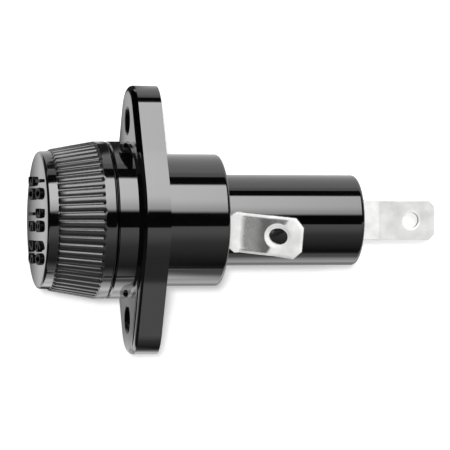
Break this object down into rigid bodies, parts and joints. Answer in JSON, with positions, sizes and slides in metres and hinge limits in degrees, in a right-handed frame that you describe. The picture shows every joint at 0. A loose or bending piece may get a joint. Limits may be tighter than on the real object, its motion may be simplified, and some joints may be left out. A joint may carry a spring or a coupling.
{
  "type": "panel mount fuse holder",
  "caption": "Panel mount fuse holder: flanged moulded barrel with a ribbed screw cap, side and end push-on tabs, spring contact and cartridge fuse.",
  "frame": {"origin": "on the fuse axis, in the flange's rear face, which lies on the panel, midway between the two screw holes", "axes": "+X along the fuse axis from the screw cap towards the end tab, behind the panel; Y along the line through the two screw holes; +Z the side that the side tab leaves from"},
  "size_m": [0.0641, 0.042, 0.025],
  "materials": {
    "moulded_body": "glossy black phenolic moulding",
    "moulded_cap": "glossy black phenolic moulding with a ribbed grip",
    "drawn_brass": "bright drawn brass",
    "tinned_brass": "satin tin plate on brass strip",
    "rivet_brass": "formed brass rivet",
    "spring_steel": "plated spring wire",
    "plated_ferrule": "bright nickel plate on a drawn brass ferrule",
    "fuse_ceramic": "opaque white glazed ceramic",
    "element_strip": "silvered strip"
  },
  "bodies": {
    "holder": {"housing": "moulded_body", "front_shell": "drawn_brass", "side_terminal": "tinned_brass", "side_terminal_rivet": "rivet_brass", "rear_contact_cup": "drawn_brass", "rear_contact_rivet": "rivet_brass", "end_terminal": "tinned_brass"},
    "cartridge": {"fuse_front_ferrule": "plated_ferrule", "fuse_rear_ferrule": "plated_ferrule", "fuse_tube": "fuse_ceramic", "fuse_element": "element_strip", "contact_disc": "drawn_brass"},
    "spring_follower": {"cap_spring": "spring_steel"},
    "screw_cap": {"cap": "moulded_cap", "cap_contact_sleeve": "drawn_brass"}
  },
  "joints": [
    {"name": "fuse_withdraw", "type": "slide", "parent": "holder", "child": "cartridge", "axis": [-1, 0, 0], "range_m": [0, 0.05]},
    {"name": "cap_advance", "type": "slide", "parent": "cartridge", "child": "spring_follower", "axis": [-1, 0, 0], "range_m": [0, 0.0045], "deforming": ["cap_spring"]},
    {"name": "cap_turn", "type": "hinge", "parent": "spring_follower", "child": "screw_cap", "pos_m": [0, 0, 0], "axis": [-1, 0, 0], "range_deg": [0, 810]}
  ],
  "couplings": [
    {"joint": "cap_advance", "follows": "cap_turn", "m_per_rad": 0.0003183}
  ]
}
